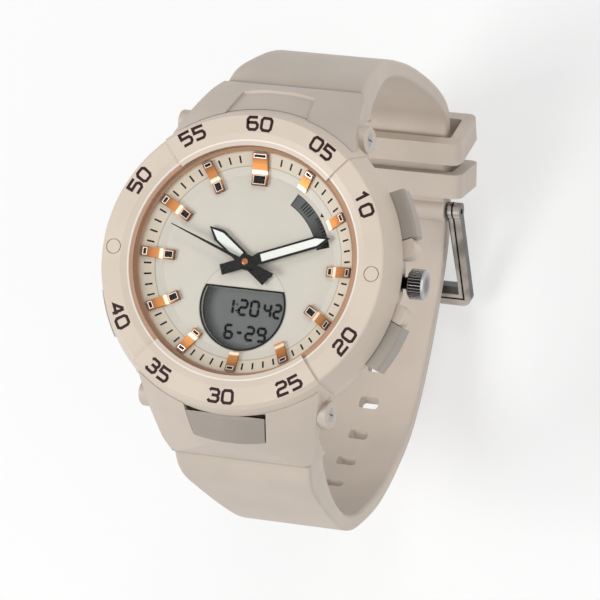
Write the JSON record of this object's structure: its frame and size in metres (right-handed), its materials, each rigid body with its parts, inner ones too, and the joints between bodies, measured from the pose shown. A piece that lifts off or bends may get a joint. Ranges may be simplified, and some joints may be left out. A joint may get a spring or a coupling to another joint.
{
  "type": "ana digi watch",
  "caption": "Ana digi sport watch with a round case, a display window in the dial, side buttons, a crown and a buckled resin strap.",
  "frame": {"origin": "centre of the case back's outer face", "axes": "+Z out of the dial, +Y to 12 o'clock, +X to 3 o'clock, along the crown"},
  "size_m": [0.049, 0.0727, 0.0849],
  "materials": {
    "resin": "satin moulded resin, warm beige",
    "bezel": "satin moulded resin, warm beige",
    "strap": "matte moulded resin, warm beige",
    "button": "satin, grey taupe",
    "steel": "polished steel",
    "back_steel": "circular brushed",
    "glass": "clear mineral glass",
    "dial": "pale warm grey, fine satin",
    "ring": "satin, warm beige",
    "rose_gold": "polished, rose gold plated",
    "hand_black": "gloss black",
    "lume": "white luminous paste",
    "brass": "turned",
    "display": "grey green display",
    "display_dark": "dark display",
    "board": "coated board",
    "movement": "moulded, ivory",
    "seal": "matte black",
    "gasket": "matte dark brown",
    "copper": "wound wire"
  },
  "bodies": {
    "case": {"case_body": "resin", "case_back": "back_steel", "case_back_gasket": "seal", "case_back_screws": "steel", "bezel": "bezel", "crystal": "glass", "crystal_gasket": "gasket", "dial": "dial", "display_frame": "hand_black", "chapter_ring": "ring", "hour_markers": "rose_gold", "movement_holder": "movement", "cell": "steel", "cell_clamp": "back_steel", "stepper_coil": "copper", "quartz_can": "steel", "circuit_board": "board", "dial_spacer": "movement", "lcd_panel": "display", "contact_strips": "seal", "arc_panel": "display_dark", "button_seals": "seal", "strap_upper": "strap", "strap_lower": "strap", "strap_pin_upper": "steel", "strap_pin_lower": "steel", "spring_bar": "steel"},
    "hour": {"hour_hand": "hand_black", "hour_lume": "lume", "hour_wheel": "brass"},
    "minute": {"minute_hand": "hand_black", "minute_lume": "lume", "minute_wheel": "brass"},
    "second": {"second_hand": "hand_black", "seconds_arbor": "steel"},
    "start": {"button_start": "button", "clip_start": "steel"},
    "reset": {"button_reset": "button", "clip_reset": "steel"},
    "light": {"button_light": "button", "clip_light": "steel"},
    "mode": {"button_mode": "button", "clip_mode": "steel"},
    "front": {"button_front": "button", "clip_front": "steel"},
    "crown_slide": {"crown_seal": "seal"},
    "crown_knob": {"crown": "steel", "crown_stem": "steel"},
    "keeper_outer": {"keeper_one": "strap"},
    "keeper_inner": {"keeper_two": "strap"},
    "buckle": {"buckle_frame": "steel", "buckle_tongue": "steel"}
  },
  "joints": [
    {"name": "second_turn", "type": "hinge", "parent": "case", "child": "second", "pos_m": [0, 0, 0.0084], "axis": [0, 0, -1], "continuous": true},
    {"name": "minute_turn", "type": "hinge", "parent": "case", "child": "minute", "pos_m": [0, 0, 0.008], "axis": [0, 0, -1], "continuous": true},
    {"name": "hour_turn", "type": "hinge", "parent": "case", "child": "hour", "pos_m": [0, 0, 0.0075], "axis": [0, 0, -1], "continuous": true},
    {"name": "start_press", "type": "slide", "parent": "case", "child": "start", "axis": [-0.9135, -0.4067, 0], "range_m": [0, 0.001], "stiffness_N_per_m": 500, "springref_m": -0.001},
    {"name": "reset_press", "type": "slide", "parent": "case", "child": "reset", "axis": [-0.9135, 0.4067, 0], "range_m": [0, 0.001], "stiffness_N_per_m": 500, "springref_m": -0.001},
    {"name": "light_press", "type": "slide", "parent": "case", "child": "light", "axis": [0.9135, -0.4067, 0], "range_m": [0, 0.001], "stiffness_N_per_m": 500, "springref_m": -0.001},
    {"name": "mode_press", "type": "slide", "parent": "case", "child": "mode", "axis": [0.9135, 0.4067, 0], "range_m": [0, 0.001], "stiffness_N_per_m": 500, "springref_m": -0.001},
    {"name": "front_press", "type": "slide", "parent": "case", "child": "front", "axis": [0, 1, 0], "range_m": [0, 0.0006], "stiffness_N_per_m": 500, "springref_m": -0.001},
    {"name": "crown_pull", "type": "slide", "parent": "case", "child": "crown_slide", "axis": [1, 0, 0], "range_m": [0, 0.001]},
    {"name": "crown_turn", "type": "hinge", "parent": "crown_slide", "child": "crown_knob", "pos_m": [0.0245, 0, 0.0033], "axis": [1, 0, 0], "continuous": true},
    {"name": "keeper_outer_slide", "type": "slide", "parent": "case", "child": "keeper_outer", "axis": [0, 0.9196, 0.393], "range_m": [0, 0.0008]},
    {"name": "keeper_inner_slide", "type": "slide", "parent": "case", "child": "keeper_inner", "axis": [0, 0.9196, 0.393], "range_m": [0, 0.0008]},
    {"name": "buckle_swing", "type": "hinge", "parent": "case", "child": "buckle", "pos_m": [0, 0.0193, -0.0614], "axis": [1, 0, 0], "range_deg": [0, 4]}
  ],
  "couplings": [
    {"joint": "minute_turn", "follows": "second_turn", "ratio": 0.016667},
    {"joint": "hour_turn", "follows": "second_turn", "ratio": 0.0013889}
  ]
}
